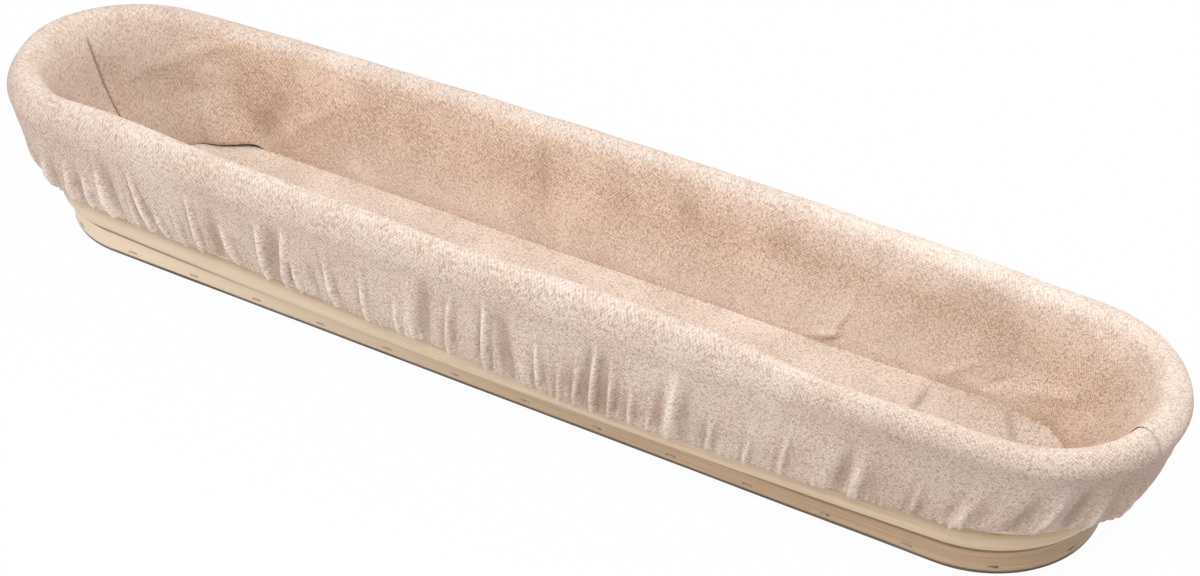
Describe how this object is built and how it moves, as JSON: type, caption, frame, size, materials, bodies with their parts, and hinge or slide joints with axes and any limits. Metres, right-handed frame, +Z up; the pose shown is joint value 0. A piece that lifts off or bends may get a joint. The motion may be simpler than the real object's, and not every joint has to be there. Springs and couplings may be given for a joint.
{
  "type": "proofing basket",
  "caption": "Long oval cane proofing basket on a foot ring, with a lift-out linen liner folded over the rim and gathered by an elastic hem.",
  "frame": {"origin": "on the table, under the middle of the basket", "axes": "+X along the basket, +Z up out of its mouth; the side that the picture shows faces -Y"},
  "size_m": [0.449, 0.1028, 0.0579],
  "materials": {
    "cane": "peeled rattan core, satin, straw coloured",
    "wire": "dull steel wire",
    "linen": "undyed plain-weave linen, matt",
    "elastic": "off-white woven elastic"
  },
  "bodies": {
    "basket": {"foot_ring": "cane", "base_core": "cane", "base_coil": "cane", "wall_coil": "cane", "foot_staple_01": "wire", "foot_staple_02": "wire", "foot_staple_03": "wire", "foot_staple_04": "wire", "foot_staple_05": "wire", "foot_staple_06": "wire", "foot_staple_07": "wire", "foot_staple_08": "wire", "foot_staple_09": "wire", "foot_staple_10": "wire", "foot_staple_11": "wire", "foot_staple_12": "wire", "foot_staple_13": "wire", "foot_staple_14": "wire", "foot_staple_15": "wire", "foot_staple_16": "wire", "foot_staple_17": "wire", "foot_staple_18": "wire", "foot_staple_19": "wire", "foot_staple_20": "wire", "foot_staple_21": "wire", "foot_staple_22": "wire", "foot_staple_23": "wire", "foot_staple_24": "wire", "foot_staple_25": "wire", "foot_staple_26": "wire", "foot_staple_27": "wire", "foot_staple_28": "wire", "foot_staple_29": "wire", "foot_staple_30": "wire", "foot_staple_31": "wire", "foot_staple_32": "wire", "rim_brad_01": "wire", "rim_brad_02": "wire", "rim_brad_03": "wire", "rim_brad_04": "wire", "rim_brad_05": "wire", "rim_brad_06": "wire", "rim_brad_07": "wire", "rim_brad_08": "wire", "rim_brad_09": "wire", "rim_brad_10": "wire", "rim_brad_11": "wire", "rim_brad_12": "wire"},
    "liner": {"liner_floor": "linen", "liner_back": "linen", "liner_front": "linen", "hem_elastic": "elastic"}
  },
  "joints": [
    {"name": "liner_lift", "type": "slide", "parent": "basket", "child": "liner", "axis": [0, 0, 1], "range_m": [0, 0.08], "deforming": ["liner_front", "liner_back", "hem_elastic"]}
  ]
}
